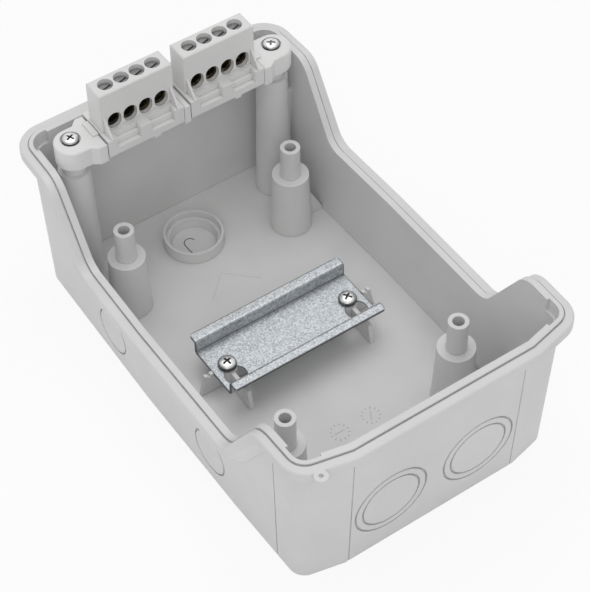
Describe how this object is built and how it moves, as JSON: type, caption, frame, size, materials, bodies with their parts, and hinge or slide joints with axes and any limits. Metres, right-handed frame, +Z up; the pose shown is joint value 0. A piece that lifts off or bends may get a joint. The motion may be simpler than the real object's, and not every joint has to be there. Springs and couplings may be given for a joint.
{
  "type": "modular distribution box",
  "caption": "Open base of a modular distribution box with a 35 mm rail, stepped cover posts and terminal blocks on a bridge at one end.",
  "frame": {"origin": "middle of the case's underside, on the surface that it rests on", "axes": "+X across the case, +Y along the case toward the terminal end, +Z up out of the open side"},
  "size_m": [0.1338, 0.2131, 0.107],
  "materials": {
    "case_plastic": "light grey moulded plastic, fine matt texture",
    "bracket_plastic": "lighter grey moulded plastic, satin",
    "terminal_plastic": "pale grey moulded plastic, satin",
    "brass": "plain drawn brass",
    "rail_steel": "zinc-plated strip steel",
    "screw_steel": "bright zinc-plated steel",
    "clamp_steel": "zinc-plated steel"
  },
  "bodies": {
    "case": {"base_shell": "case_plastic", "terminal_bracket": "bracket_plastic", "bracket_screw_left": "screw_steel", "bracket_screw_right": "screw_steel", "terminal_housing_left": "terminal_plastic", "terminal_housing_right": "terminal_plastic", "clamp_bar_left": "brass", "clamp_bar_right": "brass", "din_rail": "rail_steel", "rail_screw_left": "screw_steel", "rail_screw_right": "screw_steel"},
    "clamp_screw_left_1": {"clamp_screw_left_1": "clamp_steel"},
    "clamp_screw_left_2": {"clamp_screw_left_2": "clamp_steel"},
    "clamp_screw_left_3": {"clamp_screw_left_3": "clamp_steel"},
    "clamp_screw_left_4": {"clamp_screw_left_4": "clamp_steel"},
    "clamp_screw_right_1": {"clamp_screw_right_1": "clamp_steel"},
    "clamp_screw_right_2": {"clamp_screw_right_2": "clamp_steel"},
    "clamp_screw_right_3": {"clamp_screw_right_3": "clamp_steel"},
    "clamp_screw_right_4": {"clamp_screw_right_4": "clamp_steel"}
  },
  "joints": [
    {"name": "clamp_travel_left_1", "type": "slide", "parent": "case", "child": "clamp_screw_left_1", "axis": [0, 0, -1], "range_m": [0, 0.0035]},
    {"name": "clamp_travel_left_2", "type": "slide", "parent": "case", "child": "clamp_screw_left_2", "axis": [0, 0, -1], "range_m": [0, 0.0035]},
    {"name": "clamp_travel_left_3", "type": "slide", "parent": "case", "child": "clamp_screw_left_3", "axis": [0, 0, -1], "range_m": [0, 0.0035]},
    {"name": "clamp_travel_left_4", "type": "slide", "parent": "case", "child": "clamp_screw_left_4", "axis": [0, 0, -1], "range_m": [0, 0.0035]},
    {"name": "clamp_travel_right_1", "type": "slide", "parent": "case", "child": "clamp_screw_right_1", "axis": [0, 0, -1], "range_m": [0, 0.0035]},
    {"name": "clamp_travel_right_2", "type": "slide", "parent": "case", "child": "clamp_screw_right_2", "axis": [0, 0, -1], "range_m": [0, 0.0035]},
    {"name": "clamp_travel_right_3", "type": "slide", "parent": "case", "child": "clamp_screw_right_3", "axis": [0, 0, -1], "range_m": [0, 0.0035]},
    {"name": "clamp_travel_right_4", "type": "slide", "parent": "case", "child": "clamp_screw_right_4", "axis": [0, 0, -1], "range_m": [0, 0.0035]}
  ]
}
